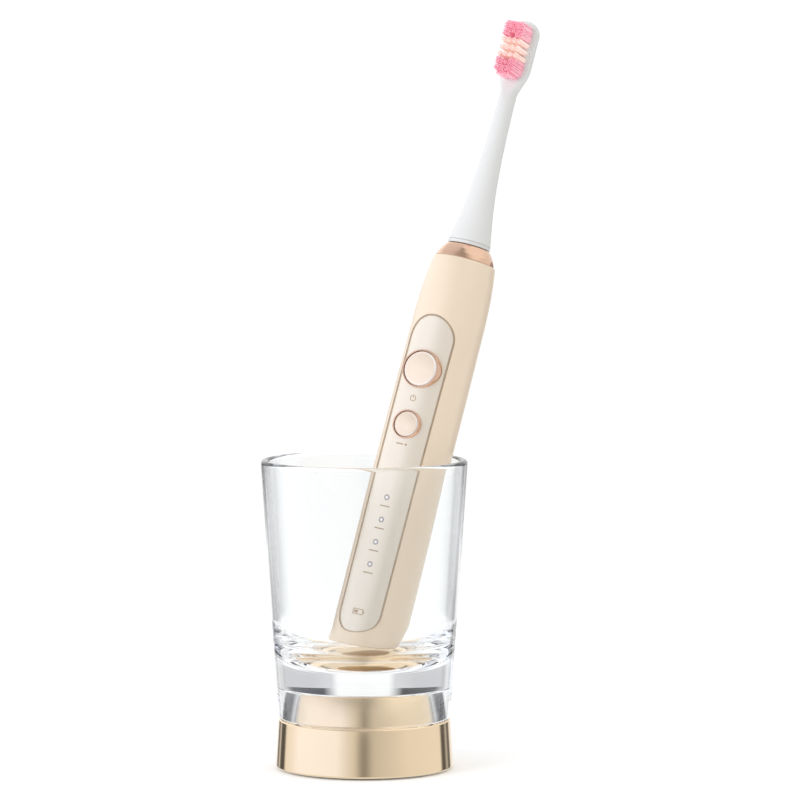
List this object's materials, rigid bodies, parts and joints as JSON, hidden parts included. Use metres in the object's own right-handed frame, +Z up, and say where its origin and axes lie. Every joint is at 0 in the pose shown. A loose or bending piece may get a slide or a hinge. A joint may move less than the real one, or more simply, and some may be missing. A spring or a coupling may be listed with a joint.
{
  "type": "electric toothbrush on charger",
  "caption": "Sonic toothbrush leaning in a clear glass tumbler that stands on a round induction charging base; pull-off head, sprung buttons.",
  "frame": {"origin": "middle of the underside of the rubber foot, on the table", "axes": "+Z up; -Y is the front, which the buttons and lights turn towards; the power inlet is at the back, +Y"},
  "size_m": [0.1092, 0.0859, 0.2896],
  "materials": {
    "rubber": "matte",
    "seal_rubber": "matte",
    "grey_plastic": "matte",
    "white_plastic": "satin",
    "head_plastic": "satin",
    "cream_paint": "satin, pearl",
    "panel_pearl": "pearl",
    "button_pearl": "pearl",
    "gold_plate": "polished champagne gold",
    "rose_chrome": "polished rose gold",
    "bronze_line": "satin",
    "sign_ink": "metallic ink",
    "clear_glass": "clear",
    "light_pipe": "frosted",
    "circuit_green": "solder mask",
    "black_chip": "matte",
    "led_white": "gloss",
    "copper_wire": "enamelled wire",
    "ferrite": "matte",
    "steel": "brushed",
    "plated_steel": "polished",
    "bronze_bush": "sintered",
    "cell_wrap": "shrink sleeve",
    "pink_bristle": "nylon",
    "cream_bristle": "nylon"
  },
  "bodies": {
    "base": {"foot_pad": "rubber", "base_plate": "grey_plastic", "base_screws": "steel", "base_shell": "gold_plate", "charger_board": "circuit_green", "charger_chips": "black_chip", "power_inlet": "plated_steel", "inlet_tongue": "black_chip", "coil_holder": "white_plastic", "charger_ferrite": "ferrite", "charger_coil": "copper_wire"},
    "tumbler": {"glass_tumbler": "clear_glass"},
    "handle": {"handle_shell": "cream_paint", "end_cap": "cream_paint", "end_cap_seal": "rubber", "front_panel": "panel_pearl", "panel_trim": "bronze_line", "power_bezel": "rose_chrome", "mode_bezel": "rose_chrome", "button_gaskets": "seal_rubber", "light_guides": "light_pipe", "panel_marks": "sign_ink", "chassis": "white_plastic", "control_board": "circuit_green", "board_screws": "steel", "board_chips": "black_chip", "indicator_leds": "led_white", "button_switches": "black_chip", "battery_cell": "cell_wrap", "battery_tabs": "plated_steel", "receiver_former": "white_plastic", "receiver_coil": "copper_wire", "receiver_ferrite": "ferrite", "motor_housing": "steel", "stator_cores": "ferrite", "stator_coil": "copper_wire", "rear_bushing": "bronze_bush", "front_bushing": "bronze_bush", "collar_ring": "rose_chrome", "shaft_seal": "seal_rubber"},
    "power_key": {"power_button": "button_pearl", "power_plunger": "black_chip"},
    "mode_key": {"mode_button": "button_pearl", "mode_plunger": "black_chip"},
    "drive": {"drive_shaft": "plated_steel", "rotor_core": "steel", "rotor_magnets": "plated_steel", "torsion_rod": "steel"},
    "brush_head": {"brush_neck": "head_plastic", "head_base_ring": "head_plastic", "shaft_socket": "white_plastic", "socket_clip": "plated_steel", "toe_bristles": "pink_bristle", "heel_bristles": "pink_bristle", "middle_bristles": "cream_bristle"}
  },
  "joints": [
    {"name": "tumbler_lift", "type": "slide", "parent": "base", "child": "tumbler", "axis": [0, 0, 1], "range_m": [0, 0.035]},
    {"name": "handle_lift", "type": "slide", "parent": "tumbler", "child": "handle", "axis": [0.2505, 0.1767, 0.9519], "range_m": [0, 0.125]},
    {"name": "power_press", "type": "slide", "parent": "handle", "child": "power_key", "axis": [0.4054, 0.8737, -0.2689], "range_m": [0, 0.0006], "stiffness_N_per_m": 1500},
    {"name": "mode_press", "type": "slide", "parent": "handle", "child": "mode_key", "axis": [0.4054, 0.8737, -0.2689], "range_m": [0, 0.0006], "stiffness_N_per_m": 1500},
    {"name": "shaft_swing", "type": "hinge", "parent": "handle", "child": "drive", "pos_m": [0.03685, 0.0224, 0.18668], "axis": [0.2505, 0.1767, 0.9519], "range_deg": [-4, 4], "stiffness_Nm_per_rad": 0.3},
    {"name": "head_pull_off", "type": "slide", "parent": "drive", "child": "brush_head", "axis": [0.2505, 0.1767, 0.9519], "range_m": [0, 0.025]}
  ]
}
